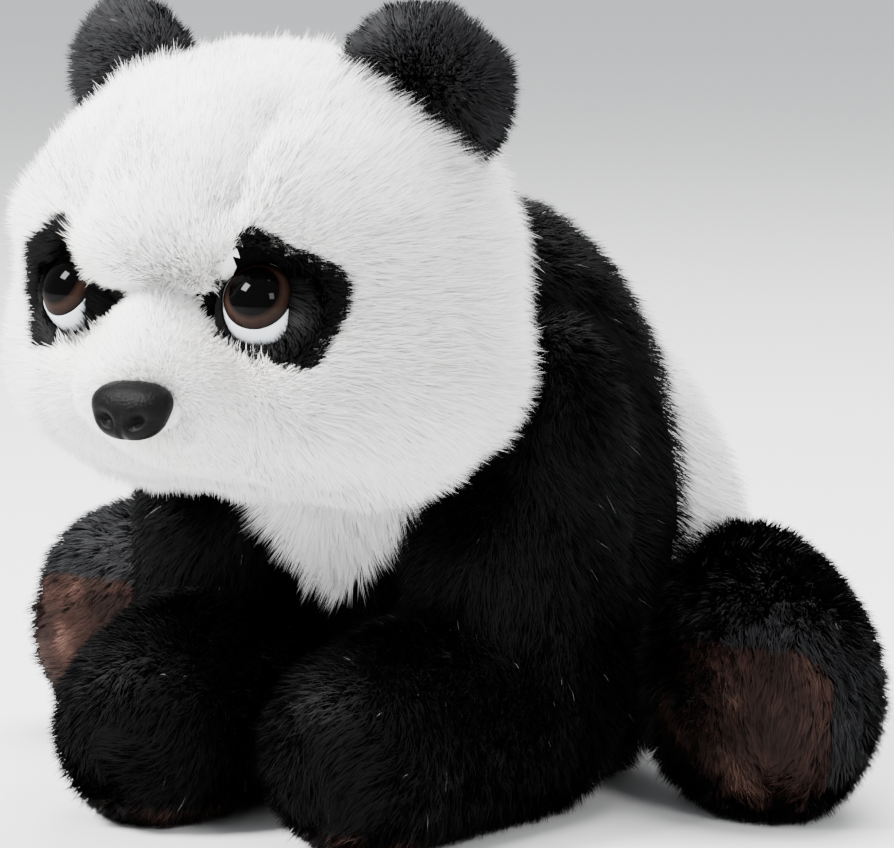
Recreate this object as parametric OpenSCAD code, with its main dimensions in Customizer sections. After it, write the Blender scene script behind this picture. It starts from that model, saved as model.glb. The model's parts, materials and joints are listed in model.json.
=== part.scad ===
// Seated plush panda cub, full size, in millimetres.
// +Z is up, the panda faces -Y and its left side is +X.
// The origin is the centre of the flat seat that it sits on.

/* [Torso] */
// Half width of the belly before the hips are cut flat
belly_half_width = 72; // [64:1:80]
// Half depth of the belly, front to back
belly_half_depth = 57; // [50:1:64]
// Half height of the belly
belly_half_height = 58; // [50:1:66]
// Half width of the chest and shoulder hump
chest_half_width = 60; // [53:1:66]
// Half depth of the chest
chest_half_depth = 56; // [49:1:62]
// Half height of the chest
chest_half_height = 52; // [46:1:58]
// Height of the chest's centre above the ground
chest_height = 107; // [95:1:116]
// How far the chest leans forward of the seat
chest_lean = 29; // [20:1:40]
// Radius of the flat sewn seat
seat_radius = 36; // [28:1:44]
// How far the round tail stands out from the rump
tail_length = 17; // [12:1:24]

/* [Head] */
// Half width of the skull
skull_half_width = 60; // [52:1:68]
// Half depth of the skull
skull_half_depth = 55; // [48:1:62]
// Half height of the skull
skull_half_height = 51; // [44:1:58]
// Height of the skull's centre above the ground
skull_height = 145; // [137:1:155]
// How far the skull's centre hangs forward of the seat
skull_reach = 102; // [94:1:110]
// Half width of the short muzzle
muzzle_half_width = 26; // [22:1:30]
// How far the muzzle's own centre stands in front of the skull's
muzzle_reach = 35; // [30:1:41]
// Radius of the stuffed neck between the head and the torso
neck_radius = 18; // [14:1:22]
// How far the head turns to each side, in degrees
turn_angle = 12; // [5:1:16]
// How far the head nods up or down, in degrees
nod_angle = 7; // [4:1:10]

/* [Face] */
// Radius of the white eyeball
eyeball_radius = 10.5; // [9:0.5:12]
// Radius of the brown iris dome
iris_radius = 8.6; // [7:0.1:9]
// Distance from the middle of the face to each eye
eye_offset = 26.5; // [22:0.5:30]
// Height of the eyes above the skull's centre
eye_rise = -6; // [-13:1:-3]
// How far each eye looks outward, in degrees
gaze_out = 15; // [5:1:30]
// How far each eye looks up, in degrees
gaze_up = 29; // [0:1:35]
// Width of the moulded nose
nose_width = 24; // [19:1:28]
// Height of the moulded nose
nose_height = 14.5; // [12:0.5:18]
// Radius of the shanks of the eyes and the nose
shank_radius = 2.5; // [2:0.5:3.5]
// Radius of the lock washers
washer_radius = 8; // [7:0.5:10]

/* [Ears] */
// Radius of an ear
ear_radius = 20; // [16:1:23]
// Thickness of an ear
ear_thickness = 12; // [9:1:15]
// How far round the crown each ear leans outward, in degrees
ear_lean = 40; // [34:1:48]
// How far each ear faces outward, in degrees
ear_facing = 18; // [8:1:35]
// How far an ear folds each way, in degrees
ear_fold = 20; // [5:1:25]

/* [Limbs] */
// Half width of an arm
arm_half_width = 24; // [20:1:27]
// Height of the shoulder's pivot
shoulder_height = 98; // [90:1:105]
// How far the shoulder's pivot stands forward of the seat
shoulder_reach = 50; // [42:1:58]
// How far a paw's centre stands forward of the seat
paw_reach = 105; // [96:1:114]
// Distance between the centres of the paws
paw_spacing = 64; // [60:1:74]
// Half height of a paw, which rests on the ground
paw_half_height = 25; // [20:1:29]
// How far an arm lifts, in degrees
arm_lift = 16; // [5:1:20]
// How far an arm presses back, in degrees
arm_back = 4; // [0:1:8]
// Distance from the middle to the centre of a foot's sole
foot_offset = 100; // [94:1:110]
// Half width of a foot
foot_half_width = 27; // [22:1:31]
// Half height of a foot, which stands on its heel
foot_half_height = 32; // [27:1:37]
// How far a hind foot points outward, in degrees
foot_splay = 22; // [10:1:35]

/* [Skins] */
// Thickness of the plush backing with the roots of its pile
skin = 2.5; // [1.5:0.5:4]
// Space between the skin and the stuffing
fill_gap = 0.2; // [0.1:0.1:1]
// Clearance between parts that move past each other
swing_gap = 1; // [0.6:0.2:2]
// Width of the panel that runs over the forehead
gusset_width = 44; // [38:1:54]
// Half width of the white bib where it meets the chin
bib_half_width = 46; // [38:1:54]
// Height of the bib's pointed tip
bib_tip_height = 60; // [50:1:70]
// Radius of the pouch of weighting beads
pouch_radius = 34; // [26:1:40]

/* [Hidden] */
$fn = 16;
LIMB_FN = 14;
ROOM_FN = 12;
EYE_FN = 24;
FAR = 400;

WHITE = [0.95, 0.94, 0.92];
BLACK = [0.05, 0.05, 0.055];
BROWN = [0.27, 0.16, 0.12];
FILL = [0.88, 0.88, 0.86];

// The hips are flat, so that each leg turns against a plane face.
hip_inset = 6;
hip_plane = belly_half_width - hip_inset;
belly_height = belly_half_height - 2;
belly = [0, 0, belly_height];
chest = [0, -chest_lean, chest_height];
neck = [0, -56, 116];
hip_pivot = [hip_plane, 4, 38];
shoulder_x = hip_plane - arm_half_width;
shoulder = [shoulder_x, -shoulder_reach, shoulder_height];
shoulder_radius = 33;
skull = [0, -skull_reach, skull_height];
// The rooms are coarser than the head, so they are grown until their flats clear it.
room_margin = skull_half_width * (1 / cos(180 / ROOM_FN) - 1);

// Chains of [centre, radii] along each limb, for the left side.
ARM = [
    [shoulder, [arm_half_width, shoulder_radius, shoulder_radius]],
    [[shoulder_x, -shoulder_reach - 2, 66], [arm_half_width, 31, 31]],
    [[shoulder_x, -shoulder_reach, 32], [arm_half_width, 31, 32]],
    [[paw_spacing / 2 + 4, -(shoulder_reach + paw_reach) / 2, 28], [26, 29, 28]],
    [[paw_spacing / 2, -paw_reach, paw_half_height], [25, 26, paw_half_height]]
];
toe = [sin(foot_splay), -cos(foot_splay)];
sole_centre = [foot_offset, -24, foot_half_height];
LEG = [
    [hip_pivot, [30, 30, 30]],
    [[hip_plane + 14, 2, 35], [28, 29, 34]],
    [[sole_centre.x - 14 * toe.x - 4, sole_centre.y - 14 * toe.y, 33], [29, 26, 33]],
    [[sole_centre.x - 6 * toe.x, sole_centre.y - 6 * toe.y, foot_half_height],
        [foot_half_width + 1, 22, foot_half_height]],
    [sole_centre, [foot_half_width, 18, foot_half_height - 1]]
];

// Eye frame: the ball's centre sits just inside the face, and the gaze is its local -Y.
eye = [eye_offset, -skull_reach - 41, skull_height + eye_rise];
iris_plane = sqrt(eyeball_radius ^ 2 - iris_radius ^ 2) - 0.4;
dome_height = 5.2;
shank_length = 20;
washer_seat = eyeball_radius + skin + 2 * fill_gap;
nose_washer_seat = 5 + skin + fill_gap;
nose_centre = [0, -skull_reach - muzzle_reach - 24, skull_height - 31];
washer_thickness = 2;
patch_tilt = 28;

// Ear frame: the disc stands on the crown, leaning out.
ear_centre = [
    (skull_half_width + 6) * sin(ear_lean),
    5 - skull_reach,
    skull_height + (skull_half_height + 5) * cos(ear_lean)
];
// A folding ear's edge rises and falls by half its thickness.
ear_clearance = ear_thickness / 2 * sin(ear_fold) + swing_gap;
tail_root = [0, belly_half_depth - 3, 36];

// Scaled ball, grown by g on every side.
module blob(ball, g = 0)
    translate(ball[0]) scale([ball[1].x + g, ball[1].y + g, ball[1].z + g]) sphere(1);

// Run of balls, each joined to the next.
module chain(balls, g = 0)
    for (i = [0 : len(balls) - 2]) hull() {
        blob(balls[i], g);
        blob(balls[i + 1], g);
    }

module both_sides() {
    children();
    mirror([1, 0, 0]) children();
}

module on_side(side) mirror([side < 0 ? 1 : 0, 0, 0]) children();

module turn_about(pivot, angles)
    translate(pivot) rotate(angles) translate(-pivot) children();

// Half spaces.
module in_front_of(y) translate([-FAR, y - 2 * FAR, -FAR]) cube(2 * FAR);
module above(z) translate([-FAR, -FAR, z]) cube(2 * FAR);
module below(z) translate([-FAR, -FAR, z - 2 * FAR]) cube(2 * FAR);
module outside_of(x) translate([x, -FAR, -FAR]) cube(2 * FAR);

module skull_form(g = 0) {
    hull() {
        blob([skull, [skull_half_width, skull_half_depth, skull_half_height]], g);
        blob([skull + [0, 4, -20], [skull_half_width - 1, skull_half_depth - 9, 36]], g);
    }
    both_sides() chain([
        [skull + [20, -14, -22], [32, 34, 30]],
        [skull + [30, -1, -21], [33, 37, 34]],
        [skull + [18, 2, 0], [40, 48, 44]]
    ], g);
}

module head_form(g = 0) {
    skull_form(g);
    chain([
        [skull + [0, -muzzle_reach, -25], [muzzle_half_width, 24, 22]],
        [skull + [0, -muzzle_reach + 10, -21], [muzzle_half_width + 6, 28, 26]],
        [skull + [0, -12, -20], [muzzle_half_width + 16, 36, 32]]
    ], g);
}

// All the places that the back of the head reaches as it turns and nods.
module head_room(g = 0)
    for (pose = [[0, 0], [-1, -1], [-1, 1], [1, -1], [1, 1]])
        turn_about(neck, [pose[0] * nod_angle, 0, pose[1] * turn_angle])
            skull_form(swing_gap + room_margin + g, $fn = ROOM_FN);

module torso_form(g = 0) hull() {
    blob([belly, [belly_half_width, belly_half_depth, belly_half_height]], g);
    blob([chest, [chest_half_width, chest_half_depth, chest_half_height]], g);
    translate([0, 0, -g]) cylinder(r = seat_radius, h = 1, $fn = 48);
}

module arm_form(g = 0) intersection() {
    chain(ARM, g, $fn = LIMB_FN);
    translate([0, 0, -g]) above(0);
    mirror([1, 0, 0]) outside_of(-hip_plane - g);
}

module arm_room()
    for (angle = [-arm_back, arm_lift / 2, arm_lift])
        turn_about(shoulder, [-angle, 0, 0]) arm_form(swing_gap);

module leg_form(g = 0) intersection() {
    chain(LEG, g, $fn = LIMB_FN);
    translate([0, 0, -g]) above(0);
    outside_of(hip_plane + swing_gap - g);
}

module neck_room(g = 0) translate(neck) sphere(neck_radius + swing_gap + g);

// Everything that moves against the torso, which is open where the limbs and the head are sewn on.
module torso_openings() {
    head_room();
    both_sides() arm_room();
    neck_room();
    both_sides() outside_of(hip_plane);
}

module torso_shell() difference() {
    torso_form();
    torso_form(-skin);
    torso_openings();
    cylinder(r = seat_radius + 0.1, h = skin, $fn = 96);
    below(0);
}

// Closed bodies, inset by g on every side.
module arm_solid(g = 0) difference() {
    arm_form(-g);
    for (angle = [-arm_back, arm_lift / 2, arm_lift]) turn_about(shoulder, [angle, 0, 0]) {
        head_room(g);
        neck_room(g);
    }
}

module leg_solid(g = 0) leg_form(-g);

// The head with sockets for the eyes and the nose.
module socketed_head(g = 0) difference() {
    head_form(-g);
    nose_body(2 * fill_gap + 1.1 * g);
    both_sides() at_eye() eye_socket(g);
}

// V-shaped prism, seen from the front, that the bib is cut by.
module bib_wedge() {
    chin = chest_height + 7;
    top = chest_height + chest_half_height;
    half = min(bib_half_width, shoulder_x + 4);
    translate([0, neck.y, 0]) rotate([90, 0, 0]) linear_extrude(FAR) polygon([
        [0, bib_tip_height], [half, chin], [half, top], [-half, top], [-half, chin]
    ]);
}

// Side outline of the black yoke: the white rump shows behind it, above the hips.
module yoke_side() rotate([90, 0, 90]) translate([0, 0, -FAR]) linear_extrude(2 * FAR) polygon([
    [-FAR, -1], [6, -1], [6, 40], [-14, 62], [-6, 100], [2, 120], [8, FAR], [-FAR, FAR]
]);

module seat_panel() color(WHITE) cylinder(r = seat_radius, h = skin);

module bib_panel() color(WHITE) intersection() {
    torso_shell();
    bib_wedge();
}

module yoke_panel() color(BLACK) intersection() {
    difference() {
        torso_shell();
        bib_wedge();
    }
    yoke_side();
}

module rump_panel() color(WHITE) difference() {
    torso_shell();
    yoke_side();
}

module pouch(g = 0) difference() {
    blob([[0, 0, skin + 10], [pouch_radius, pouch_radius, 14]], g);
    below(skin + fill_gap);
}

module bead_pouch() color("dimgray") pouch();

module torso_stuffing() color(FILL) difference() {
    torso_form(-skin - fill_gap);
    torso_openings();
    pouch(7 * fill_gap);
    below(skin + fill_gap);
}

module tail() color(WHITE) difference() {
    hull() {
        blob([tail_root, [14, 9, 11]]);
        blob([tail_root + [0, tail_length - 7, -9], [13, 10, 12]]);
    }
    torso_form(swing_gap + 1);
}

module neck_stuffing() color(FILL) translate(neck) sphere(neck_radius);

// Places something made along local -Y at the eye, looking along the gaze.
module at_eye() translate(eye) rotate([0, 0, gaze_out]) rotate([-gaze_up, 0, 0]) children();

module along_gaze(from, length, r, fn = EYE_FN)
    translate([0, -from, 0]) rotate([90, 0, 0]) cylinder(r = r, h = length, $fn = fn);

module eye_socket(g = 0) sphere(eyeball_radius + 2 * fill_gap + g, $fn = ROOM_FN + 4);

module eye_shank_room() at_eye() {
    along_gaze(-shank_length - 1, shank_length, shank_radius + fill_gap, ROOM_FN);
    along_gaze(-washer_seat - washer_thickness - fill_gap, washer_thickness + 2 * fill_gap,
        washer_radius + 2 * fill_gap, ROOM_FN);
}

module nose_body(g = 0) hull() {
    for (side = [-1, 1]) {
        translate(nose_centre + [side * (nose_width / 2 - 4), 0, nose_height / 2 - 4])
            scale([4 + g, 5 + g, 4 + g]) sphere(1, $fn = ROOM_FN);
        translate(nose_centre + [side * (nose_width / 2 - 6.5), 0, 4 - nose_height / 2])
            scale([4.5 + g, 5 + g, 4 + g]) sphere(1, $fn = ROOM_FN);
    }
}

module nose_shank(from, length, r, fn = EYE_FN)
    translate(nose_centre + [0, from, 0]) rotate([-90, 0, 0])
        cylinder(r = r, h = length, $fn = fn);

module nose_shank_room() {
    nose_shank(0, shank_length, shank_radius + fill_gap, ROOM_FN);
    nose_shank(nose_washer_seat - fill_gap, washer_thickness + 2 * fill_gap,
        washer_radius + 2 * fill_gap, ROOM_FN);
}

// Prism behind each black eye patch: a point above the inner corner, wide on the outer side.
module patch_prism() translate(eye + [0, 8, 0]) rotate([0, 0, patch_tilt]) hull() {
    translate([-6.5, 0, 14.5]) rotate([90, 0, 0]) cylinder(r = 4, h = 60);
    translate([-1, 0, 0]) rotate([90, 0, 0]) cylinder(r = 13, h = 60);
    translate([5, 0, 2.5]) rotate([90, 0, 0]) cylinder(r = 11, h = 60);
    translate([4.5, 0, -9]) rotate([90, 0, 0]) cylinder(r = 6.2, h = 60);
}

// The black patch with the lining of the eye socket.
module patch_cut() {
    patch_prism();
    at_eye() eye_socket(skin + 0.6);
}

// Everything that passes through the skin of the head.
module head_openings() {
    neck_room();
    nose_shank_room();
    both_sides() eye_shank_room();
}

module head_shell() difference() {
    socketed_head();
    socketed_head(skin);
    head_openings();
}

module face_side() in_front_of(-skull_reach + 8);

module muzzle_block() translate([-muzzle_half_width - 6, -FAR - skull_reach - 20, 0])
    cube([2 * muzzle_half_width + 12, FAR, skull_height - 1]);

module gusset_block() translate([-gusset_width / 2, -FAR, 0]) cube([gusset_width, FAR, FAR]);

module forehead_gusset() color(WHITE) difference() {
    intersection() {
        head_shell();
        gusset_block();
        face_side();
        above(skull_height - 1);
    }
    both_sides() patch_cut();
}

module muzzle_panel() color(WHITE) difference() {
    intersection() {
        head_shell();
        muzzle_block();
    }
    both_sides() patch_cut();
}

module cheek_panel() color(WHITE) difference() {
    intersection() {
        head_shell();
        face_side();
        outside_of(0);
    }
    muzzle_block();
    patch_cut();
    intersection() {
        gusset_block();
        above(skull_height - 1);
    }
}

module eye_patch() color(BLACK) intersection() {
    head_shell();
    patch_cut();
    outside_of(0);
}

module head_back_panel() color(WHITE) difference() {
    head_shell();
    face_side();
}

module head_stuffing() color(FILL) difference() {
    socketed_head(skin + fill_gap);
    head_openings();
}

module eyeball() color("white") at_eye() {
    difference() {
        sphere(eyeball_radius, $fn = EYE_FN);
        translate([0, -iris_plane, 0]) rotate([90, 0, 0])
            cylinder(r = eyeball_radius, h = eyeball_radius, $fn = EYE_FN);
    }
    along_gaze(-shank_length, shank_length, shank_radius);
}

// Clear-coated dome with the iris and pupil, seated on the flat of the eyeball.
module iris() color([0.25, 0.13, 0.07]) at_eye() {
    dome_radius = (iris_radius ^ 2 + dome_height ^ 2) / (2 * dome_height);
    translate([0, dome_radius - dome_height - iris_plane, 0]) intersection() {
        sphere(dome_radius, $fn = EYE_FN);
        translate([0, dome_height - dome_radius, 0]) rotate([90, 0, 0])
            cylinder(r = iris_radius + 1, h = dome_height + 1, $fn = EYE_FN);
    }
}

module eye_washer() color("ivory") at_eye() difference() {
    along_gaze(-washer_seat - washer_thickness, washer_thickness, washer_radius);
    along_gaze(-washer_seat - washer_thickness - 1, washer_thickness + 2, shank_radius + 0.05);
}

module nose() color([0.09, 0.09, 0.1]) {
    nose_body();
    nose_shank(0, shank_length - 1, shank_radius);
}

module nose_washer() color("ivory") difference() {
    nose_shank(nose_washer_seat, washer_thickness, washer_radius);
    nose_shank(nose_washer_seat - 1, washer_thickness + 2, shank_radius + 0.05);
}

module at_ear() translate(ear_centre) rotate([0, ear_lean, 0]) rotate([0, 0, ear_facing]) children();

// Two flat lenses side by side give the ear its broad round top.
module ear_form() difference() {
    at_ear() for (pair = [[-1, 0], [0, 1], [-1, 1]]) hull() for (side = pair)
        translate([side * 3, 0, 0])
            scale([ear_radius - 3, ear_thickness / 2, ear_radius]) sphere(1, $fn = LIMB_FN);
    head_form(ear_clearance);
}

module ear_front() color(BLACK) intersection() {
    ear_form();
    at_ear() in_front_of(0);
}

module ear_back() color(BLACK) difference() {
    ear_form();
    at_ear() in_front_of(0);
}

// Oval prism that the brown pad under the heel of each paw is cut by.
module pad_prism() translate([paw_spacing / 2, -paw_reach + 3, -1])
    scale([17, 22, 1]) cylinder(r = 1, h = 11, $fn = 32);

module arm_shell() difference() {
    arm_solid();
    arm_solid(skin);
}

module arm_skin() color(BLACK) difference() {
    arm_shell();
    pad_prism();
}

module paw_pad() color(BROWN) intersection() {
    arm_shell();
    pad_prism();
}

module arm_stuffing() color(FILL) arm_solid(skin + fill_gap);

// Rounded prism behind the brown sole, along the way that the foot points.
module sole_prism() translate([sole_centre.x, sole_centre.y, 0]) rotate([0, 0, foot_splay])
    hull() for (side = [-1, 1], end = [-1, 1])
        translate([side * 10 - 4, 8, foot_half_height - 5 + end * 9]) rotate([90, 0, 0])
            cylinder(r = 12, h = 60);

module leg_shell() difference() {
    leg_solid();
    leg_solid(skin);
}

module leg_skin() color(BLACK) difference() {
    leg_shell();
    sole_prism();
}

module sole() color(BROWN) intersection() {
    leg_shell();
    sole_prism();
}

module leg_stuffing() color(FILL) leg_solid(skin + fill_gap);

seat_panel();
bib_panel();
yoke_panel();
rump_panel();
torso_stuffing();
bead_pouch();
tail();
neck_stuffing();
forehead_gusset();
muzzle_panel();
on_side(1) cheek_panel();  // left_cheek_panel
on_side(-1) cheek_panel();  // right_cheek_panel
head_back_panel();
on_side(1) eye_patch();  // left_eye_patch
on_side(-1) eye_patch();  // right_eye_patch
head_stuffing();
on_side(1) eyeball();  // left_eyeball
on_side(-1) eyeball();  // right_eyeball
on_side(1) iris();  // left_iris
on_side(-1) iris();  // right_iris
on_side(1) eye_washer();  // left_eye_washer
on_side(-1) eye_washer();  // right_eye_washer
nose();
nose_washer();
on_side(1) ear_front();  // left_ear_front
on_side(1) ear_back();  // left_ear_back
on_side(-1) ear_front();  // right_ear_front
on_side(-1) ear_back();  // right_ear_back
on_side(1) arm_skin();  // left_arm_skin
on_side(-1) arm_skin();  // right_arm_skin
on_side(1) paw_pad();  // left_paw_pad
on_side(-1) paw_pad();  // right_paw_pad
on_side(1) arm_stuffing();  // left_arm_stuffing
on_side(-1) arm_stuffing();  // right_arm_stuffing
on_side(1) leg_skin();  // left_leg_skin
on_side(-1) leg_skin();  // right_leg_skin
on_side(1) sole();  // left_sole
on_side(-1) sole();  // right_sole
on_side(1) leg_stuffing();  // left_leg_stuffing
on_side(-1) leg_stuffing();  // right_leg_stuffing
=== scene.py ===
import json
import math

import bmesh
import bpy
import numpy as np
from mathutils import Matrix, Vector
from mathutils.bvhtree import BVHTree
from mathutils.kdtree import KDTree


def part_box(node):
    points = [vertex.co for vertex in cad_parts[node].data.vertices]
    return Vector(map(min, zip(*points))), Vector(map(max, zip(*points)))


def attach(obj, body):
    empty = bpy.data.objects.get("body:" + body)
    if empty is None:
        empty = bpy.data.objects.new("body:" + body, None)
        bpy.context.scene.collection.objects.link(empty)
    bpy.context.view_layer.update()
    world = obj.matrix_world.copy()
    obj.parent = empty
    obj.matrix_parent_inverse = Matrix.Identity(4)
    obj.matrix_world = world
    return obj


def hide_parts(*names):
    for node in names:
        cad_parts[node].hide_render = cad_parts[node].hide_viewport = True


# Plush panda: smooth padded bodies under a pile of real strands, one pile for each sewn panel.
# Lengths are in metres. The panda sits at the origin and faces -Y.
MM = 0.001
SEED = 20
UV_NAME = "OFBake"
# The most triangles that one pile may have.
MAX_TRIANGLES = 195000
SIDES = ("left", "right")

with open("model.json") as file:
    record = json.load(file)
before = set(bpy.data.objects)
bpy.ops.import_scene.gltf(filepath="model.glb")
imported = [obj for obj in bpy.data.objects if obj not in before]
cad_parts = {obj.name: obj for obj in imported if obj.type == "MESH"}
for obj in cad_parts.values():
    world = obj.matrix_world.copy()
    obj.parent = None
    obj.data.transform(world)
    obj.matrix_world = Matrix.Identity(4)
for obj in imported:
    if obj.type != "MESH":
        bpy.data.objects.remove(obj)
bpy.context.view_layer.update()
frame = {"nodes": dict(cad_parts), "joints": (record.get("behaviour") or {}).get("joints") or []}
nodes = frame["nodes"]
rng = np.random.default_rng(SEED)


# ---------------------------------------------------------------- small helpers

def unit(v):
    """Rows of v at length one."""
    return v / np.maximum(np.linalg.norm(v, axis=-1, keepdims=True), 1e-12)


def smooth_step(x, low, high):
    """0 below low, 1 above high and an S-curve between."""
    t = np.clip((x - low) / (high - low), 0, 1)
    return t * t * (3 - 2 * t)


def wobble(p, size, seed):
    """Smooth random field about -1 to 1, with features of the given size in metres."""
    waves = np.random.default_rng(seed)
    total = np.zeros(len(p))
    for _ in range(6):
        k = waves.normal(size=3)
        k *= waves.uniform(0.7, 1.4) * 2 * math.pi / size / np.linalg.norm(k)
        total += np.sin(p @ k + waves.uniform(0, 2 * math.pi))
    return total / 2.6


def centre_of(node):
    """Mean of a CAD node's vertices."""
    return np.mean([v.co[:] for v in nodes[node].data.vertices], axis=0)


def box_of(node):
    """Lowest and highest corner of a CAD node."""
    low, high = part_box(node)
    return np.array(low), np.array(high)


def mesh_arrays(mesh):
    """Vertices, triangles and vertex normals as numpy arrays."""
    mesh.calc_loop_triangles()
    points = np.zeros(len(mesh.vertices) * 3)
    mesh.vertices.foreach_get("co", points)
    normals = np.zeros(len(mesh.vertices) * 3)
    mesh.vertices.foreach_get("normal", normals)
    faces = np.zeros(len(mesh.loop_triangles) * 3, np.int64)
    mesh.loop_triangles.foreach_get("vertices", faces)
    return points.reshape(-1, 3), faces.reshape(-1, 3), normals.reshape(-1, 3)


def add_object(name, mesh, material):
    """Puts a mesh in the scene with one material."""
    obj = bpy.data.objects.new(name, mesh)
    bpy.context.scene.collection.objects.link(obj)
    mesh.materials.append(material)
    return obj


def mesh_from(bm, name):
    """Turns a bmesh into a mesh and frees it."""
    mesh = bpy.data.meshes.new(name)
    bm.to_mesh(mesh)
    bm.free()
    return mesh


def shade_smooth(bm):
    for face in bm.faces:
        face.smooth = True


# ---------------------------------------------------------------- materials

def new_material(name, **sockets):
    """A material whose shader sockets are set by name, with its nodes, links and shader."""
    material = bpy.data.materials.new(name)
    material.use_nodes = True
    tree = material.node_tree
    shader = tree.nodes["Principled BSDF"]
    for key, value in sockets.items():
        shader.inputs[key.replace("_", " ")].default_value = value
    return material, tree, shader


def ramp_node(tree, source, stops):
    """Colour ramp from (position, colour) stops."""
    ramp = tree.nodes.new("ShaderNodeValToRGB")
    elements = ramp.color_ramp.elements
    while len(elements) < len(stops):
        elements.new(0.5)
    for element, (at, rgb) in zip(elements, stops):
        element.position = at
        element.color = (*rgb, 1)
    tree.links.new(source, ramp.inputs["Fac"])
    return ramp.outputs["Color"]


def multiply_node(tree, a, b):
    mix = tree.nodes.new("ShaderNodeMix")
    mix.data_type = "RGBA"
    mix.blend_type = "MULTIPLY"
    mix.inputs["Factor"].default_value = 1
    tree.links.new(a, mix.inputs["A"])
    tree.links.new(b, mix.inputs["B"])
    return mix.outputs["Result"]


def noise_node(tree, scale, detail=3):
    noise = tree.nodes.new("ShaderNodeTexNoise")
    noise.inputs["Scale"].default_value = scale
    noise.inputs["Detail"].default_value = detail
    coordinates = tree.nodes.new("ShaderNodeTexCoord")
    tree.links.new(coordinates.outputs["Object"], noise.inputs["Vector"])
    return noise.outputs["Fac"]


def bump_node(tree, shader, height, distance):
    bump = tree.nodes.new("ShaderNodeBump")
    bump.inputs["Strength"].default_value = 0.6
    bump.inputs["Distance"].default_value = distance
    tree.links.new(height, bump.inputs["Height"])
    tree.links.new(bump.outputs["Normal"], shader.inputs["Normal"])


def pile_material(name, tones, along, **sockets):
    """Strand colour: tones vary across the map from strand to strand, and along runs from root to tip,
    darker at the root as painted shade deep in the pile.
    """
    material, tree, shader = new_material(name, **sockets)
    uv = tree.nodes.new("ShaderNodeUVMap")
    uv.uv_map = UV_NAME
    split = tree.nodes.new("ShaderNodeSeparateXYZ")
    tree.links.new(uv.outputs["UV"], split.inputs["Vector"])
    tone = ramp_node(tree, split.outputs["X"], tones)
    # Darker toward the root: painted shade deep in the pile, multiplied into each strand's tone.
    root_shade = ramp_node(tree, split.outputs["Y"], along)
    tree.links.new(multiply_node(tree, tone, root_shade), shader.inputs["Base Color"])
    return material


def backing_material(name, dark, light, **sockets):
    """Plush backing: the roots of the pile, mottled and finely bumped."""
    material, tree, shader = new_material(name, **sockets)
    mottle = ramp_node(tree, noise_node(tree, 900, 5), [(0.3, dark), (0.7, light)])
    tree.links.new(mottle, shader.inputs["Base Color"])
    bump_node(tree, shader, noise_node(tree, 2600, 4), 0.0006)
    return material


WHITE_BACKING = backing_material("white_backing", (0.88, 0.875, 0.865), (0.95, 0.945, 0.94), Roughness=0.9)
BLACK_BACKING = backing_material(
    "black_backing", (0.0006, 0.0006, 0.0006), (0.0015, 0.0015, 0.0016),
    Roughness=0.95, Specular_IOR_Level=0.02,
)
BROWN_BACKING = backing_material(
    "brown_backing", (0.008, 0.004, 0.003), (0.016, 0.008, 0.006),
    Roughness=0.9,
)
CALICO = backing_material("calico", (0.62, 0.60, 0.55), (0.78, 0.76, 0.72), Roughness=0.85)
WHITE_PILE = pile_material(
    "white_pile",
    tones=[
        (0.0, (0.945, 0.94, 0.93)),
        (0.55, (0.975, 0.97, 0.965)),
        (0.8, (0.96, 0.94, 0.90)),
        (1.0, (0.86, 0.76, 0.60)),
    ],
    # along: darker at the root, painted shade deep in the pile.
    along=[(0.0, (0.965, 0.96, 0.955)), (0.4, (0.995, 0.995, 0.995)), (1.0, (1.0, 1.0, 1.0))],
    Roughness=0.75, Sheen_Weight=0.15, Sheen_Roughness=0.5, Specular_IOR_Level=0.2,
)
# The lightest tone is that of the few pale stray hairs.
BLACK_PILE = pile_material(
    "black_pile",
    tones=[
        (0.0, (0.0010, 0.0010, 0.0011)),
        (0.5, (0.0035, 0.0035, 0.0038)),
        # The greyer stops at 0.75 and 0.94 are painted sheen, used by the legs and the ears.
        (0.75, (0.012, 0.012, 0.013)),
        (0.94, (0.032, 0.032, 0.034)),
        (1.0, (0.25, 0.245, 0.24)),
    ],
    # along: darker at the root, painted shade deep in the pile.
    along=[(0.0, (0.35, 0.35, 0.35)), (0.6, (0.9, 0.9, 0.9)), (1.0, (1.0, 1.0, 1.0))],
    Roughness=0.55, Sheen_Weight=0.012, Sheen_Roughness=0.4, Specular_IOR_Level=0.06,
)
BROWN_PILE = pile_material(
    "brown_pile",
    tones=[
        (0.0, (0.014, 0.006, 0.0045)),
        (0.6, (0.034, 0.015, 0.011)),
        (0.9, (0.075, 0.036, 0.027)),
        (1.0, (0.14, 0.075, 0.058)),
    ],
    # along: darker at the root, painted shade deep in the pile.
    along=[(0.0, (0.4, 0.4, 0.4)), (0.6, (0.9, 0.9, 0.9)), (1.0, (1.0, 1.0, 1.0))],
    Roughness=0.6, Sheen_Weight=0.03, Sheen_Roughness=0.4, Specular_IOR_Level=0.12,
)


# ---------------------------------------------------------------- padded bodies

def joined_mesh(sources):
    """One mesh holding the vertices and triangles of several CAD nodes."""
    bm = bmesh.new()
    for source in sources:
        bm.from_mesh(nodes[source].data)
    bmesh.ops.remove_doubles(bm, verts=bm.verts, dist=1e-6)
    return mesh_from(bm, "source")


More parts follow.
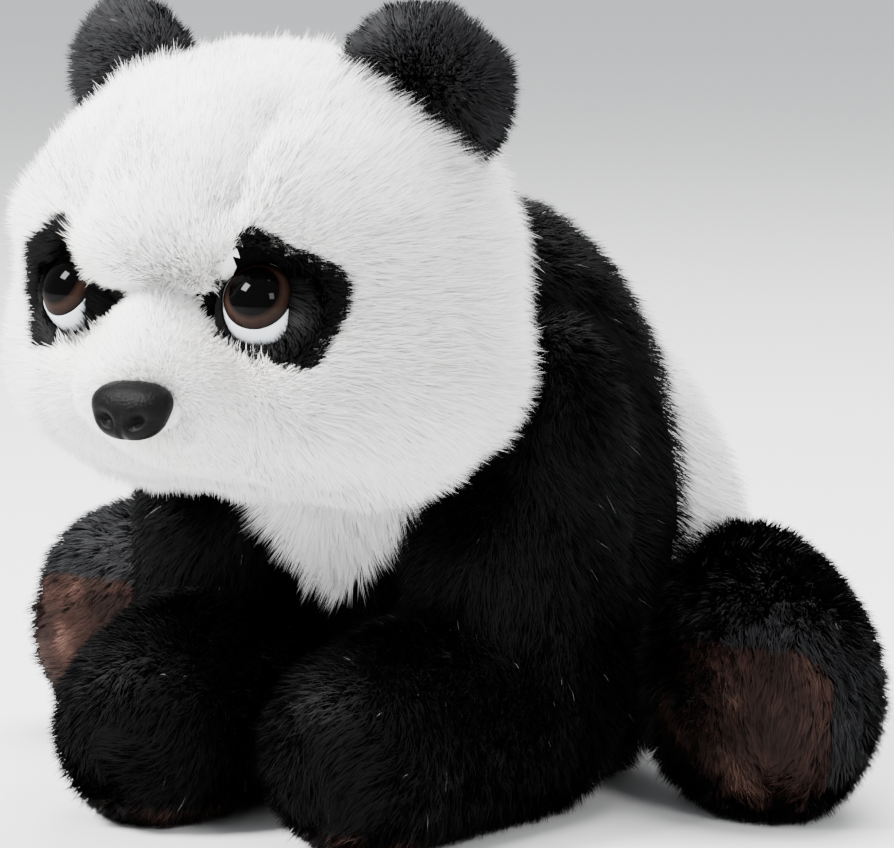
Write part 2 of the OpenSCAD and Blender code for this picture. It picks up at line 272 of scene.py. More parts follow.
def hide(name, sources, body, material, grow, voxel=2.0, rounds=10, sculpt=None, ground=0.3):
    """The smooth closed body under the pile: the CAD solids, rounded and grown out to the skin.

    grow, voxel and ground are in mm: how far it grows, how fine it is and how low it may reach.
    """
    obj = add_object(name, joined_mesh(sources), material)
    remesh = obj.modifiers.new("remesh", "REMESH")
    remesh.mode = "VOXEL"
    remesh.voxel_size = voxel * MM
    rounding = obj.modifiers.new("rounding", "SMOOTH")
    rounding.factor = 0.5
    rounding.iterations = rounds
    graph = bpy.context.evaluated_depsgraph_get()
    mesh = bpy.data.meshes.new_from_object(obj.evaluated_get(graph))
    obj.modifiers.clear()
    obj.data = mesh
    points, _, normals = mesh_arrays(mesh)
    points = points + normals * (grow * MM)
    if sculpt:
        points = sculpt(points, normals)
    points[:, 2] = np.maximum(points[:, 2], ground * MM)
    mesh.vertices.foreach_set("co", points.ravel())
    mesh.polygons.foreach_set("use_smooth", np.ones(len(mesh.polygons), bool))
    mesh.update()
    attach(obj, body)
    return obj


# Places on the head that the pile and the creases are laid out from.
EYE_RADIUS = 10.5 * MM
IRIS_RADIUS = 8.6 * MM
# From the middle of the washer to the centre of the ball.
EYE_BACK = 14.4 * MM
NOSE_DEPTH = 10 * MM


def eye_frame(side):
    """(centre of the ball, gaze) of one eye, from its washer and its iris."""
    washer = centre_of(side + "_eye_washer")
    gaze = unit(centre_of(side + "_iris") - washer)
    return washer + gaze * EYE_BACK, gaze


EYES = {side: eye_frame(side) for side in SIDES}
EYE_Z = EYES["left"][0][2]
nose_low, nose_high = box_of("nose")
NOSE_SIZE = np.array([nose_high[0] - nose_low[0], NOSE_DEPTH, nose_high[2] - nose_low[2]])
NOSE = np.array([0, nose_low[1] + NOSE_DEPTH / 2, (nose_low[2] + nose_high[2]) / 2])
gusset_low, gusset_high = box_of("forehead_gusset")
SEAM_X = gusset_high[0]
BRIDGE_Z = gusset_low[2]


def swell(points, normals, middle, height, spread):
    """Raises a soft mound about a point, or a hollow where height is below 0."""
    far = np.linalg.norm((points - middle) / spread, axis=1)
    return points + normals * (height * np.exp(-(far**2)))[:, None]


# Rolls and hollows round the left eye: offset from the ball, height (below 0 for a hollow) and spread in mm.
EYE_SWELLS = {
    "inner corner": ((-15, -6, -1), -4.0, 5.5),
    "brow": ((6, -2, 27), 4.0, 11),
    "temple": ((24, 10, 20), 4.0, 12),
    "cheekbone": ((10, 4, -26), 3.0, 12),
    "jowl": ((30, 24, -20), 3.0, 18),
}
# The same beside the nose, on the left.
NOSE_SWELLS = {
    "crease": ((12.5, 4, -3), -2.4, 4.2),
    "lip": ((17, 6, 3), 2.0, 6),
}
FOREHEAD_CREASE = 6.5 * MM
BRIDGE_CREASE = 6.0 * MM


def head_creases(points):
    """Depth of the seam creases: two up the forehead, and one across the bridge between the eyes."""
    x, y, z = points.T
    face = smooth_step(-y, 0.105, 0.128)
    seam = np.abs(x) - (SEAM_X - 0.0015)
    climb = smooth_step(z, EYE_Z + 0.014, EYE_Z + 0.026) * (1 - smooth_step(z, 0.174, 0.192))
    crease = FOREHEAD_CREASE * face * climb * np.exp(-((seam / 0.0048) ** 2))
    bridge = z - (BRIDGE_Z - 0.0020 - 0.0042 * (x / 0.017) ** 2)
    across = face * (1 - smooth_step(np.abs(x), 0.016, 0.026))
    return crease + BRIDGE_CREASE * across * np.exp(-((bridge / 0.0045) ** 2))


def sculpt_head(points, normals):
    """Presses the seam creases into the head and raises rolls of stuffing round the eyes and the nose."""
    points = points - normals * head_creases(points)[:, None]
    for side, (ball, _) in EYES.items():
        mirror = np.array([1 if side == "left" else -1, 1, 1])
        for offset, height, spread in EYE_SWELLS.values():
            middle = ball + mirror * np.array(offset) * MM
            points = swell(points, normals, middle, height * MM, spread * MM)
    brow = np.array([0, -0.155, BRIDGE_Z + 0.018])
    points = swell(points, normals, brow, 3.5 * MM, np.array([0.014, 0.02, 0.018]))
    points = swell(points, normals, NOSE + np.array([0, 0.004, 0.013]), 2.2 * MM, 0.008)
    for sign in (-1, 1):
        for (across, back, up), height, spread in NOSE_SWELLS.values():
            middle = NOSE + np.array([sign * across, back, up]) * MM
            points = swell(points, normals, middle, height * MM, spread * MM)
    return points


RUMP_ROLL = 5.0 * MM


def sculpt_torso(points, normals):
    """The rump rolls out behind the yoke."""
    x, y, z = points.T
    roll = smooth_step(y, -0.004, 0.030) * smooth_step(z, 0.030, 0.062)
    roll *= 1 - smooth_step(z, 0.100, 0.135)
    roll *= 1 - smooth_step(np.abs(x), 0.050, 0.064)
    return points + normals * (RUMP_ROLL * roll)[:, None]


# How far the skin of a plush piece lies outside its stuffing, in mm.
SKIN = 2.9
hides = {
    "torso": hide(
        "torso_body", ["torso_stuffing"], "torso", BLACK_BACKING, SKIN, 2.4, 14,
        sculpt_torso, ground=0.5,
    ),
    "head": hide(
        "head_body", ["head_stuffing"], "head", WHITE_BACKING, SKIN, 1.8, 10, sculpt_head,
    ),
    "tail": hide("tail_body", ["tail"], "tail", WHITE_BACKING, -0.6, 1.6, 6),
    "neck": hide("neck_body", ["neck_stuffing"], "neck", CALICO, 0, 2.0, 6),
}
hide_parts("torso_stuffing")
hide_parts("head_stuffing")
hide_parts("tail")
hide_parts("neck_stuffing")
for side in SIDES:
    for limb in ("arm", "leg"):
        key = f"{side}_{limb}"
        stuffing = f"{key}_stuffing"
        hides[key] = hide(f"{key}_body", [stuffing], key, BLACK_BACKING, SKIN, 2.2, 12)
        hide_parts(stuffing)
    key = f"{side}_ear"
    halves = [f"{key}_front", f"{key}_back"]
    hides[key] = hide(f"{key}_body", halves, key, BLACK_BACKING, 0.4, 1.4, 6)


# ---------------------------------------------------------------- pile

def white(**shape):
    return dict(material=WHITE_PILE, slot="white_plush", **shape)


def black(**shape):
    return dict(material=BLACK_PILE, slot="black_plush", steps=2, **shape)


def brown(**shape):
    return dict(material=BROWN_PILE, slot="brown_plush", steps=2, **shape)


# Style of each panel's pile: length and clump size in mm, strands to a square mm, lean from 0 upright
# to 1 flat, how far a strand is drawn to the middle of its clump, and the segments of a strand.
STYLES = {
    "gusset": white(length=6.0, density=9.0, lean=0.50, clump=1.6, gather=0.10, steps=2),
    "muzzle": white(length=4.6, density=10.0, lean=0.55, clump=1.4, gather=0.10, steps=2),
    "cheek": white(length=8.5, density=6.0, lean=0.50, clump=2.0, gather=0.16, steps=3),
    "back": white(length=9.0, density=2.3, lean=0.50, clump=2.6, gather=0.30, steps=3),
    "patch": black(length=4.8, density=11.0, lean=0.45, clump=1.4, gather=0.15),
    "ear": black(length=5.0, density=8.0, lean=0.28, clump=1.8, gather=0.30),
    "bib": white(length=10.0, density=6.0, lean=0.50, clump=2.4, gather=0.30, steps=3),
    "yoke": black(length=6.0, density=3.4, lean=0.55, clump=2.6, gather=0.25),
    "rump": white(length=8.0, density=2.6, lean=0.50, clump=2.6, gather=0.30, steps=3),
    "tail": white(length=8.0, density=4.0, lean=0.45, clump=2.6, gather=0.35, steps=3),
    "arm": black(length=5.5, density=2.6, lean=0.50, clump=2.8, gather=0.30),
    "leg": black(length=6.0, density=4.0, lean=0.42, clump=3.0, gather=0.42),
    "sole": brown(length=4.5, density=8.0, lean=0.45, clump=2.4, gather=0.45),
}
# Which panels a body shows, and the style of each.
PANELS = {
    "head": {
        "forehead_gusset": "gusset", "muzzle_panel": "muzzle", "head_back_panel": "back",
        "left_cheek_panel": "cheek", "right_cheek_panel": "cheek",
        "left_eye_patch": "patch", "right_eye_patch": "patch",
    },
    "torso": {"bib_panel": "bib", "yoke_panel": "yoke", "rump_panel": "rump"},
    "tail": {"tail": "tail"},
}
for side in SIDES:
    PANELS[f"{side}_arm"] = {f"{side}_arm_skin": "arm", f"{side}_paw_pad": "sole"}
    PANELS[f"{side}_leg"] = {f"{side}_leg_skin": "leg", f"{side}_sole": "sole"}
    PANELS[f"{side}_ear"] = {f"{side}_ear_front": "ear", f"{side}_ear_back": "ear"}


def panel_finder(panels):
    """A tree of every panel's triangles, and the panel that each triangle belongs to."""
    points, faces, owner = [], [], []
    for index, panel in enumerate(panels):
        v, f, _ = mesh_arrays(nodes[panel].data)
        faces.extend((f + len(points)).tolist())
        points.extend(v.tolist())
        owner.extend([index] * len(f))
    return BVHTree.FromPolygons(points, faces), np.array(owner)


def soft_normals(points, faces, normals, rounds=12):
    """Vertex normals averaged over the neighbours, so that the pile shades smoothly."""
    edges = np.concatenate([faces[:, [0, 1]], faces[:, [1, 2]], faces[:, [2, 0]]])
    count = np.bincount(edges[:, 0], minlength=len(points))[:, None] + 1
    for _ in range(rounds):
        total = normals.copy()
        for axis in range(3):
            total[:, axis] += np.bincount(edges[:, 0], normals[edges[:, 1], axis], len(points))
        normals = total / count
    return unit(normals)


def scatter(mesh, density):
    """Random points over a mesh, with a soft normal each."""
    points, faces, normals = mesh_arrays(mesh)
    normals = soft_normals(points, faces, normals)
    a, b, c = (points[faces[:, k]] for k in range(3))
    area = np.linalg.norm(np.cross(b - a, c - a), axis=1) / 2
    total = area.sum()
    count = int(total / MM**2 * density)
    picked = rng.choice(len(faces), count, p=area / total)
    r1, r2 = np.sqrt(rng.random(count)), rng.random(count)
    weights = np.stack([1 - r1, r1 * (1 - r2), r1 * r2], 1)[:, :, None]
    corners = faces[picked]
    return (points[corners] * weights).sum(1), unit((normals[corners] * weights).sum(1))


def comb_head(p):
    """Back from the nose over the face, then down over the back of the head."""
    away = unit(p - (NOSE + np.array([0, 0, -0.002])))
    fall = smooth_step(p[:, 1], -0.100, -0.075)[:, None]
    flow = away + np.array([0, 0.25, -0.12])
    return flow * (1 - fall) + np.array([0, 0.5, -0.9]) * fall


def comb_torso(p):
    """Down and outward over the bib, down and back over the rump."""
    back = smooth_step(p[:, 1], -0.06, 0.0)[:, None]
    fan = np.stack([55 * p[:, 0], np.full(len(p), -0.35), np.full(len(p), -0.8)], 1)
    return fan * (1 - back) + np.array([0, 0.45, -0.8]) * back


def comb_arm(p):
    """Down the arm, then forward over the paw."""
    down = smooth_step(p[:, 2], 0.030, 0.075)[:, None]
    return np.array([0, -1.0, -0.35]) * (1 - down) + np.array([0, -0.15, -1.0]) * down


def comb_leg(p):
    """Forward and outward toward the sole."""
    sign = np.sign(p[:, :1])
    return np.hstack([0.45 * sign, np.full((len(p), 1), -0.75), np.full((len(p), 1), -0.35)])


def comb_ear(p):
    """Outward from the fold at the ear's root."""
    sign = np.sign(p[:, :1])
    root = np.hstack([EAR_ROOT[0] * sign, np.tile(EAR_ROOT[1:], (len(p), 1))])
    return unit(p - root)


EAR_ROOT = np.array(next(j["pos_m"] for j in frame["joints"] if j["name"] == "left_ear_fold"))
COMBS = {"head": comb_head, "torso": comb_torso, "tail": comb_torso}
for side in SIDES:
    COMBS[f"{side}_arm"] = comb_arm
    COMBS[f"{side}_leg"] = comb_leg
    COMBS[f"{side}_ear"] = comb_ear


def eye_offsets(p, side):
    """Distance ahead of a ball's centre along the gaze, and the offset across it."""
    ball, gaze = EYES[side]
    off = p - ball
    ahead = off @ gaze
    return ahead, off - ahead[..., None] * gaze


def lid_edge(radial, reach):
    """How far from the gaze line the pile stops: at the iris, but lower down on the white below it."""
    low = smooth_step(-radial[..., 2] / np.maximum(reach, 1e-9), 0.15, 0.80)
    return IRIS_RADIUS * (0.97 + 0.26 * low)


def close_over_eyes(paths, p):
    """Bends the strands rooted round each socket up the side of the ball and in over its edge, like lids."""
    count, levels = paths.shape[:2]
    t = (np.arange(levels) / (levels - 1))[None, :, None]
    for side, (ball, gaze) in EYES.items():
        ahead, radial = eye_offsets(p, side)
        reach = np.maximum(np.linalg.norm(radial, axis=1), 1e-9)
        out = radial / reach[:, None]
        near = (1 - smooth_step(reach, 0.0120, 0.0160)) * (ahead > -0.010)
        near = near * (1 - smooth_step(ahead, 0.004, 0.007))
        stop = lid_edge(radial, reach) + rng.uniform(-0.2, 1.3, count) * MM
        surface = np.sqrt(np.maximum((EYE_RADIUS + 0.6 * MM) ** 2 - stop**2, 0))
        rise = surface + rng.uniform(0, 1.2, count) * MM
        tip = ball + out * stop[:, None] + gaze * rise[:, None]
        wide = np.maximum(reach, EYE_RADIUS + 1.2 * MM)
        shoulder = ball + out * wide[:, None] + gaze * (rise * 0.85)[:, None]
        lid = (1 - t) ** 2 * p[:, None] + 2 * t * (1 - t) * shoulder[:, None] + t**2 * tip[:, None]
        paths = paths + (lid - paths) * near[:, None, None]
    return keep_clear_of_eyes(paths)


def keep_clear_of_eyes(paths):
    """Moves strand points out of the balls and off the irises."""
    for side, (ball, _) in EYES.items():
        ahead, radial = eye_offsets(paths, side)
        reach = np.maximum(np.linalg.norm(radial, axis=-1), 1e-9)
        room = lid_edge(radial, reach)
        push = np.where((ahead > -0.002) & (reach < room), room - reach, 0)
        paths = paths + radial * (push / reach)[..., None]
        off = paths - ball
        far = np.linalg.norm(off, axis=-1, keepdims=True)
        paths = ball + off * np.maximum(1, (EYE_RADIUS + 0.35 * MM) / far)
    return paths


def grow_strands(name, p, n, flow, style, body, tone, length, width):
    """One mesh of tapering blades with roots at p, which lean with the flow."""
    count = len(p)
    flow = unit(flow - n * (flow * n).sum(1, keepdims=True))
    jitter = rng.normal(size=(count, 3))
    lean = style["lean"] * (1 + 0.25 * rng.normal(size=(count, 1)))
    start = unit(n * (1 - 0.55 * lean) + flow * 0.75 * lean + 0.11 * jitter)
    bend = flow * 0.55 * lean + np.array([0, 0, -0.10]) + 0.08 * rng.normal(size=(count, 3))
    levels = style["steps"]
    steps = (np.arange(levels + 1) / levels)[None, :, None]
    paths = p[:, None] + length[:, None, None] * (start[:, None] * steps + bend[:, None] * steps**2)
    # Each strand's tip is drawn toward that of the middle strand of its clump.
    area = count / style["density"]
    leaders = rng.choice(count, max(8, int(area / style["clump"] ** 2)), replace=False)
    tree = KDTree(len(leaders))
    for k, leader in enumerate(leaders):
        tree.insert(p[leader], k)
    tree.balance()
    leader = leaders[[tree.find(root)[1] for root in p]]
    gather = style["gather"] * rng.uniform(0.5, 1.3, (count, 1, 1))
    shift = (paths[leader] - p[leader][:, None]) - (paths - p[:, None]) + (p[leader] - p)[:, None]
    paths = paths + shift * gather * steps**1.3
    if body == "head":
        paths = close_over_eyes(paths, p)
    paths[..., 2] = np.maximum(paths[..., 2], 0.25 * MM)
    tangent = unit(np.gradient(paths, axis=1))
    across = unit(np.cross(tangent, n[:, None]) + 1e-6)
    facing = np.cross(across, tangent)
    roll = rng.uniform(-1.15, 1.15, (count, 1, 1))
    across = across * np.cos(roll) + facing * np.sin(roll)
    half = width[:, None, None] / 2 * (1 - steps[:, :-1] ** 2)
    left = paths[:, :-1] - across[:, :-1] * half
    right = paths[:, :-1] + across[:, :-1] * half
    corners = 2 * levels + 1
    pairs = np.stack([left, right], 2).reshape(count, corners - 1, 3)
    points = np.concatenate([pairs, paths[:, -1:]], 1)
    blade = [[corners - 3, corners - 2, corners - 1]]
    for k in range(0, corners - 3, 2):
        blade += [[k, k + 1, k + 3], [k, k + 3, k + 2]]
    faces = (np.arange(count)[:, None, None] * corners + np.array(blade)).reshape(-1, 3)
    edge = np.append(np.tile([-1, 1], levels), 0) * 0.004
    u = 0.02 + 0.96 * np.clip(tone, 0, 1)[:, None] + edge
    v = np.tile(0.02 + 0.96 * np.append(np.repeat(steps[0, :-1, 0], 2), 1), (count, 1))
    uv = np.stack([u, v], 2).reshape(-1, 2)
    mesh = bpy.data.meshes.new(name)
    mesh.vertices.add(count * corners)
    mesh.vertices.foreach_set("co", points.ravel())
    mesh.loops.add(len(faces) * 3)
    mesh.loops.foreach_set("vertex_index", faces.ravel())
    mesh.polygons.add(len(faces))
    mesh.polygons.foreach_set("loop_start", np.arange(len(faces)) * 3)
    mesh.polygons.foreach_set("use_smooth", np.ones(len(faces), bool))
    mesh.uv_layers.new(name=UV_NAME).data.foreach_set("uv", uv[faces.ravel()].ravel())
    mesh.update(calc_edges=True)
    shade = unit(0.9 * n[:, None] + 0.2 * tangent + 0.04 * rng.normal(size=(count, 1, 3)))
    shade = np.concatenate([np.repeat(shade[:, :-1], 2, axis=1), shade[:, -1:]], 1)
    mesh.normals_split_custom_set_from_vertices(shade.reshape(-1, 3))
    obj = add_object(name, mesh, style["material"])
    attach(obj, body)
    return obj


def panel_length(style_name, p, n, length):
    """Pile length over a panel: long on the jowls, short round the nose and at the eyes."""
    if style_name in ("muzzle", "cheek", "gusset"):
        near_nose = np.linalg.norm(p - NOSE, axis=1)
        length = length * (0.45 + 0.55 * smooth_step(near_nose, 0.008, 0.035))
        for ball, _ in EYES.values():
            near_eye = np.linalg.norm(p - ball, axis=1)
            length = length * (0.60 + 0.40 * smooth_step(near_eye, 0.016, 0.032))
    if style_name == "cheek":
        length = length * (0.85 + 0.35 * smooth_step(p[:, 1], -0.130, -0.100))
    if style_name in ("muzzle", "cheek", "back"):
        length = length * (1 - 0.4 * smooth_step(-n[:, 2], 0.3, 0.8))
    if style_name == "patch":
        for ball, _ in EYES.values():
            near_eye = np.linalg.norm(p - ball, axis=1)
            length = length * (0.80 + 0.20 * smooth_step(near_eye, 0.012, 0.030))
    return length


# Darkest and lightest tone of the black panels: the legs and the ears are greyer than the arms, a painted
# sheen that stands in for the grey light on their fur.
TONE_AND_SHEEN_SPANS = {
    "arm": (0.0, 0.45),
    "yoke": (0.05, 0.60),
    "leg": (0.72, 0.96),
    "ear": (0.68, 0.92),
    "patch": (0.0, 0.40),
}
STRAY_HAIRS = 0.0012


def panel_tone(style_name, p):
    """Tone of each strand: mostly even, cream round the nose and eyes, a few pale strays in the black, and a
    painted grey sheen on the legs and ears.
    """
    tone = rng.uniform(0, 0.72, len(p)) + 0.06 * wobble(p, 0.02, 3)
    if style_name in ("muzzle", "gusset", "cheek"):
        stain = 0.55 * np.exp(-((np.linalg.norm(p - NOSE, axis=1) / 0.016) ** 2))
        for ball, _ in EYES.values():
            off_rim = np.linalg.norm(p - ball, axis=1) - 0.016
            stain = stain + 0.35 * np.exp(-((off_rim / 0.006) ** 2))
        tone = tone + stain * rng.uniform(0.2, 1.0, len(p))
    # The legs and ears take the greyer tones: painted sheen.
    if style_name in TONE_AND_SHEEN_SPANS:
        low, high = TONE_AND_SHEEN_SPANS[style_name]
        tone = low + (high - low) * np.clip(tone / 0.75, 0, 1)
        tone = np.where(rng.random(len(p)) < STRAY_HAIRS, 1.0, tone)
    if style_name == "sole":
        tone = tone + 0.30 * wobble(p, 0.012, 5)
    return tone


def outside_socket(p):
    """True where a root isn't in the lining of an eye or nose socket."""
    clear = np.ones(len(p), bool)
    for side, (ball, _) in EYES.items():
        ahead, radial = eye_offsets(p, side)
        reach = np.linalg.norm(radial, axis=1)
        far = np.linalg.norm(p - ball, axis=1)
        clear &= ~((reach < EYE_RADIUS - 0.6 * MM) & (ahead > -EYE_RADIUS * 1.5))
        clear &= ~((far < EYE_RADIUS + 1.3 * MM) & (ahead < 0.004))
    nose_room = NOSE_SIZE * np.array([0.47, 1.4, 0.47])
    return clear & (np.linalg.norm((p - NOSE) / nose_room, axis=1) >= 1)


def colour_backing(obj, panels, finder, owner):
    """Gives each face of a body the backing of the panel that covers it."""
    mesh = obj.data
    backings = {"white_plush": WHITE_BACKING, "black_plush": BLACK_BACKING, "brown_plush": BROWN_BACKING}
    mesh.materials.clear()
    for backing in backings.values():
        mesh.materials.append(backing)
    order = list(backings)
    slots = [order.index(STYLES[style]["slot"]) for style in panels.values()]
    corner = [slots[owner[finder.find_nearest(vertex.co)[2]]] for vertex in mesh.vertices]
    # Where a seam crosses a face the paler backing wins, since the darker pile covers it.
    for polygon in mesh.polygons:
        polygon.material_index = min(corner[v] for v in polygon.vertices)


# Width of a strand at its root, in mm.
STRAND_WIDTH = {"white_plush": 0.23, "black_plush": 0.27, "brown_plush": 0.25}
THINNING = 1
WIDENING = 1

for body, panels in PANELS.items():
    finder, owner = panel_finder(panels)
    colour_backing(hides[body], panels, finder, owner)
    top = max(STYLES[style]["density"] for style in panels.values())
    p, n = scatter(hides[body].data, top * THINNING)
    panel = owner[[finder.find_nearest(root)[2] for root in p]]
    chance = rng.random(len(p))
    usable = (p[:, 2] > 1.2 * MM) | (n[:, 2] > -0.9)
    if body == "head":
        usable &= outside_socket(p)
    ruffle = np.stack([wobble(p, 0.03, 11 + k) for k in range(3)], 1)
    flow = unit(COMBS[body](p)) + 0.35 * ruffle
    for index, (node, style_name) in enumerate(panels.items()):
        style = STYLES[style_name]
        mine = np.flatnonzero((panel == index) & usable & (chance < style["density"] / top))
        mine = mine[: MAX_TRIANGLES // (2 * style["steps"] - 1)]
        roots, normals = p[mine], n[mine]
        length = style["length"] * MM * rng.uniform(0.65, 1.15, len(mine))
        length *= 1 + 0.10 * wobble(roots, 0.010, 7)
        length = panel_length(style_name, roots, normals, length)
        width = STRAND_WIDTH[style["slot"]] * MM * rng.uniform(0.7, 1.3, len(mine)) * WIDENING
        tone = panel_tone(style_name, roots)
        pile = grow_strands(f"{node}_pile", roots, normals, flow[mine], style, body, tone, length, width)
        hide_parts(node)


# ---------------------------------------------------------------- eyes, nose and hidden parts

def lathe(name, profile, origin, axis, material, radius, segments=72):
    """A solid of revolution from (distance along axis, radius) pairs, mapped flat from the front."""
    side = unit(np.cross(axis, [0, 0, 1.0]))
    up = np.cross(side, axis)
    bm = bmesh.new()
    rings = []
    for along, r in profile:
        count = segments if r > 0 else 1
        ring = []
        for k in range(count):
            angle = 2 * math.pi * k / count
            out = side * math.cos(angle) + up * math.sin(angle)
            ring.append(bm.verts.new(origin + axis * along + out * r))
        rings.append(ring)
    for low, high in zip(rings, rings[1:]):
        for k in range(segments):
            lower = [low[k % len(low)], low[(k + 1) % len(low)]]
            upper = [high[(k + 1) % len(high)], high[k % len(high)]]
            # At the axis two corners are the same, and the face is a triangle.
            bm.faces.new(list(dict.fromkeys(lower + upper)))
    bmesh.ops.recalc_face_normals(bm, faces=bm.faces)
    shade_smooth(bm)
    layer = bm.loops.layers.uv.new(UV_NAME)
    for face in bm.faces:
        for loop in face.loops:
            off = np.array(loop.vert.co) - origin
            loop[layer].uv = (0.5 + 0.48 * off @ side / radius, 0.5 + 0.48 * off @ up / radius)
    return add_object(name, mesh_from(bm, name), material)


def iris_material():
    """Black pupil, brown ring with fine rays and a dark limbus, under a clear coat."""
    material, tree, shader = new_material(
        "iris", Roughness=0.6, Specular_IOR_Level=0.0, Coat_Weight=0.10, Coat_Roughness=0.02
    )
    uv = tree.nodes.new("ShaderNodeUVMap")
    uv.uv_map = UV_NAME
    offset = tree.nodes.new("ShaderNodeVectorMath")
    offset.operation = "SUBTRACT"
    offset.inputs[1].default_value = (0.5, 0.5, 0)
    tree.links.new(uv.outputs["UV"], offset.inputs[0])
    length = tree.nodes.new("ShaderNodeVectorMath")
    length.operation = "LENGTH"
    tree.links.new(offset.outputs["Vector"], length.inputs[0])
    rings = ramp_node(tree, length.outputs["Value"], [
        (0.0, (0.0005, 0.0005, 0.0005)),
        (0.340, (0.0006, 0.0005, 0.0005)),
        (0.360, (0.008, 0.0042, 0.003)),
        (0.40, (0.020, 0.0100, 0.0075)),
        (0.445, (0.012, 0.006, 0.0045)),
        (0.48, (0.002, 0.001, 0.001)),
    ])
    rays = ramp_node(tree, noise_node(tree, 900, 4), [(0.3, (0.75, 0.75, 0.75)), (0.7, (1, 1, 1))])
    tree.links.new(multiply_node(tree, rings, rays), shader.inputs["Base Color"])
    return material


def moulded(name, dark, light, scale, distance, **sockets):
    """Moulded plastic with a faint mottle and texture."""
    material, tree, shader = new_material(name, **sockets)
    tone = ramp_node(tree, noise_node(tree, scale / 3), [(0.3, dark), (0.7, light)])
    tree.links.new(tone, shader.inputs["Base Color"])
    bump_node(tree, shader, noise_node(tree, scale, 5), distance)
    return material


RIM_RINGS = 12
RIM_SEGMENTS = 72
# Angle from the gaze at which the rim ends, behind the widest part of the ball.
RIM_END = 0.58 * math.pi


def eye_rim(side, ball, gaze):
    """Black plush backing that rolls over the edge of the ball, open lower down below the iris."""
    across = unit(np.cross(gaze, [0, 0, 1.0]))
    up = np.cross(across, gaze)
    bm = bmesh.new()
    rings = []
    for k in range(RIM_RINGS + 1):
        ring = []
        for j in range(RIM_SEGMENTS):
            angle = 2 * math.pi * j / RIM_SEGMENTS
            out = across * math.cos(angle) + up * math.sin(angle)
            inner = float(lid_edge(out, np.array(1.0))) + 0.15 * MM
            shell = EYE_RADIUS + (0.15 + 0.5 * math.sin(math.pi * k / RIM_RINGS)) * MM
            start = math.asin(min(inner / shell, 1))
            tilt = start + (RIM_END - start) * k / RIM_RINGS
            ring.append(bm.verts.new(ball + (gaze * math.cos(tilt) + out * math.sin(tilt)) * shell))
        rings.append(ring)
    for low, high in zip(rings, rings[1:]):
        for j in range(RIM_SEGMENTS):
            following = (j + 1) % RIM_SEGMENTS
            bm.faces.new([low[j], low[following], high[following], high[j]])
    shade_smooth(bm)
    bmesh.ops.recalc_face_normals(bm, faces=bm.faces)
    name = f"{side}_eye_rim"
    return add_object(name, mesh_from(bm, name), BLACK_BACKING)


IRIS = iris_material()
EYE_WHITE = moulded(
    "eye_white", (0.52, 0.56, 0.60), (0.62, 0.65, 0.68), 300, 0.00002,
    Roughness=0.2, Coat_Weight=0.5, Coat_Roughness=0.03,
)
NOSE_RUBBER = moulded(
    "nose_rubber", (0.0008, 0.0008, 0.0009), (0.0024, 0.0024, 0.0026), 1500, 0.00035,
    Roughness=0.45, Specular_IOR_Level=0.055,
)
WASHER = moulded("washer", (0.75, 0.73, 0.68), (0.83, 0.81, 0.77), 700, 0.0001, Roughness=0.5)

SHANK_RADIUS = 2.5 * MM
SHANK_LENGTH = 20 * MM
# The iris dome stands this high on the flat of the ball.
DOME = 5.2 * MM
SEAT_DEPTH = math.sqrt(EYE_RADIUS**2 - IRIS_RADIUS**2) - 0.4 * MM


def ball_profile():
    """Shank, ball and the flat that the iris sits on, from back to front."""
    widest = math.acos(-math.cos(math.asin(SHANK_RADIUS / EYE_RADIUS)))
    turn = [widest * (1 - k / 40) for k in range(41)]
    ring = [(EYE_RADIUS * math.cos(a), EYE_RADIUS * math.sin(a)) for a in turn]
    ring = [point for point in ring if point[0] < SEAT_DEPTH]
    flat = [(SEAT_DEPTH, IRIS_RADIUS * 1.03), (SEAT_DEPTH, 0)]
    return [(-SHANK_LENGTH, 0), (-SHANK_LENGTH, SHANK_RADIUS)] + ring + flat


def dome_profile():
    """Flat back and domed front of the iris."""
    dome_radius = (IRIS_RADIUS**2 + DOME**2) / (2 * DOME)
    half_angle = math.asin(IRIS_RADIUS / dome_radius)
    top = SEAT_DEPTH + DOME
    profile = [(SEAT_DEPTH, 0)]
    for k in range(24):
        angle = half_angle * (1 - k / 24)
        profile.append((top - dome_radius * (1 - math.cos(angle)), dome_radius * math.sin(angle)))
    return profile + [(top, 0)]


for side, (ball, gaze) in EYES.items():
    eyeball = lathe(f"{side}_eye", ball_profile(), ball, gaze, EYE_WHITE, EYE_RADIUS)
    iris = lathe(f"{side}_iris_dome", dome_profile(), ball, gaze, IRIS, IRIS_RADIUS)
    for piece, node, slot in ((eyeball, "eyeball", "eye_white"), (iris, "iris", "iris")):
        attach(piece, "head")
        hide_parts(f"{side}_{node}")
    rim = eye_rim(side, ball, gaze)
    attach(rim, "head")


NOSTRIL_X = 0.0043
NOSTRIL_Z = -0.0022


def nose_dent(x, z):
    """Depth of the two comma nostrils and the groove between them, at a point on the nose's front."""
    dent = 0
    for sign in (-1, 1):
        across = (x - sign * (NOSTRIL_X + (z - NOSTRIL_Z) * 0.5)) / 0.0021
        nostril = math.hypot(across, (z - NOSTRIL_Z) / 0.0017)
        dent += 0.0026 * math.exp(-(nostril**2))
    below = 1 - float(smooth_step(np.array(z), -0.001, 0.002))
    return dent + 0.0006 * math.exp(-((x / 0.0008) ** 2)) * below


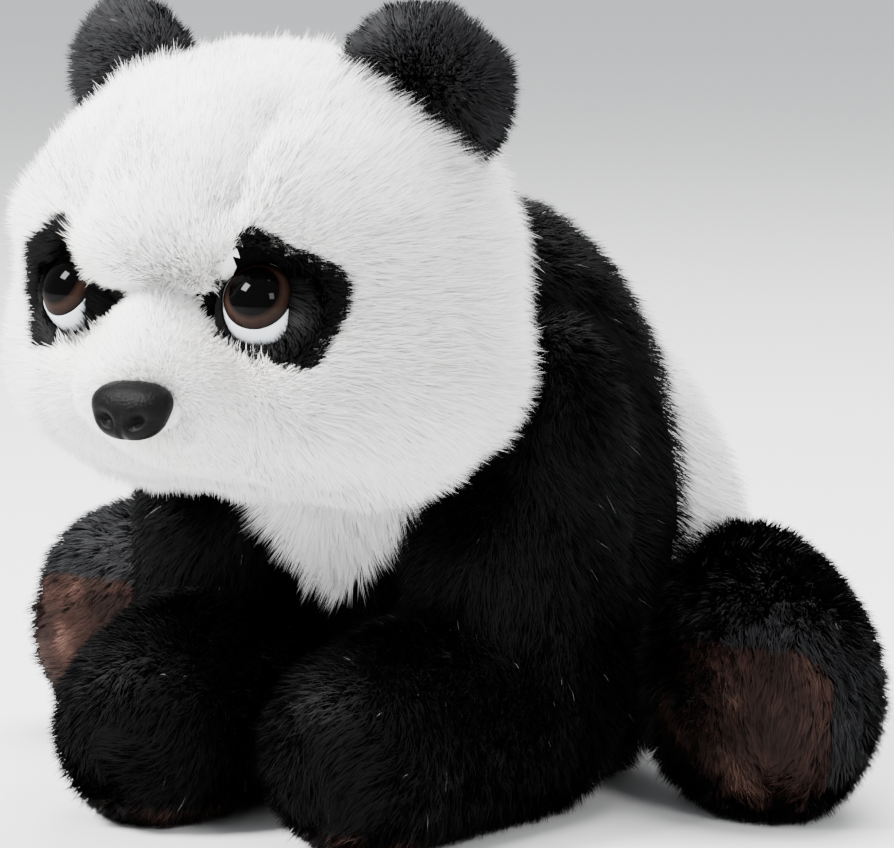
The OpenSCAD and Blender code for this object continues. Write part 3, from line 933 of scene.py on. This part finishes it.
def build_nose():
    """Rounded wedge, wider above, with nostrils in its front."""
    bm = bmesh.new()
    bmesh.ops.create_uvsphere(bm, u_segments=96, v_segments=64, radius=1)
    half_size = np.array([NOSE_SIZE[0], NOSE_SIZE[1] * 1.1, NOSE_SIZE[2]]) / 2
    for vert in bm.verts:
        d = np.array(vert.co)
        d = np.sign(d) * np.abs(d) ** np.array([0.82, 0.9, 0.82])
        x, y, z = d * half_size
        x *= 0.91 + 0.09 * math.tanh(z / 0.003)
        y += 0.0012 * (z / 0.0075)
        if y < 0:
            y += nose_dent(x, z)
        vert.co = Vector((NOSE[0] + x, NOSE[1] + y, NOSE[2] + z))
    shade_smooth(bm)
    name = "nose_moulding"
    return add_object(name, mesh_from(bm, name), NOSE_RUBBER)


nose = build_nose()
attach(nose, "head")
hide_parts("nose")

for node, material in (
    ("seat_panel", WHITE_BACKING), ("bead_pouch", CALICO), ("nose_washer", WASHER),
    ("left_eye_washer", WASHER), ("right_eye_washer", WASHER),
):
    nodes[node].data.materials.clear()
    nodes[node].data.materials.append(material)


# ---------------------------------------------------------------- floor, lights and camera

def floor():
    """Plain pale floor, wide enough to meet the horizon."""
    material, tree, shader = new_material("floor", Roughness=0.6)
    tone = ramp_node(tree, noise_node(tree, 2), [(0.0, (0.78, 0.78, 0.78)), (1.0, (0.82, 0.82, 0.82))])
    tree.links.new(tone, shader.inputs["Base Color"])
    mesh = bpy.data.meshes.new("floor")
    size = 6
    corners = [(-size, -size, 0), (size, -size, 0), (size, size, 0), (-size, size, 0)]
    mesh.from_pydata(corners, [], [(0, 1, 2, 3)])
    add_object("floor", mesh, material)


def aim_at(obj, place, target):
    obj.location = place
    obj.rotation_euler = (Vector(target) - Vector(place)).to_track_quat("-Z", "Y").to_euler()


def area_light(name, place, size, power):
    """Rectangular light aimed at the middle of the panda."""
    data = bpy.data.lights.new(name, "AREA")
    data.shape = "RECTANGLE"
    data.size, data.size_y = size
    data.energy = power
    light = bpy.data.objects.new(name, data)
    bpy.context.scene.collection.objects.link(light)
    aim_at(light, place, MIDDLE)


MIDDLE = (0, -0.05, 0.10)
floor()
area_light("key", (-0.75, -1.10, 1.30), (0.55, 0.55), 128)
area_light("side", (1.25, -0.85, 0.85), (0.35, 0.45), 13)
area_light("top", (0.05, 0.35, 1.50), (1.2, 1.2), 70)
world = bpy.data.worlds.new("studio")
world.use_nodes = True
background = world.node_tree.nodes["Background"]
background.inputs["Color"].default_value = (0.95, 0.97, 1.0, 1)
background.inputs["Strength"].default_value = 0.95
bpy.context.scene.world = world

CAMERA_PLACE = Vector((0.6094, -1.0033, 0.2486))
AIM = Vector((0, -0.028, 0.0935))
LENS = 176
ahead = (AIM - CAMERA_PLACE).normalized()
right = ahead.cross(Vector((0, 0, 1))).normalized()
aim = AIM + right * 0.0056 + right.cross(ahead) * 0.0021
camera_data = bpy.data.cameras.new("camera")
camera_data.lens = LENS
camera = bpy.data.objects.new("camera", camera_data)
bpy.context.scene.collection.objects.link(camera)
aim_at(camera, CAMERA_PLACE, aim)
bpy.context.scene.camera = camera
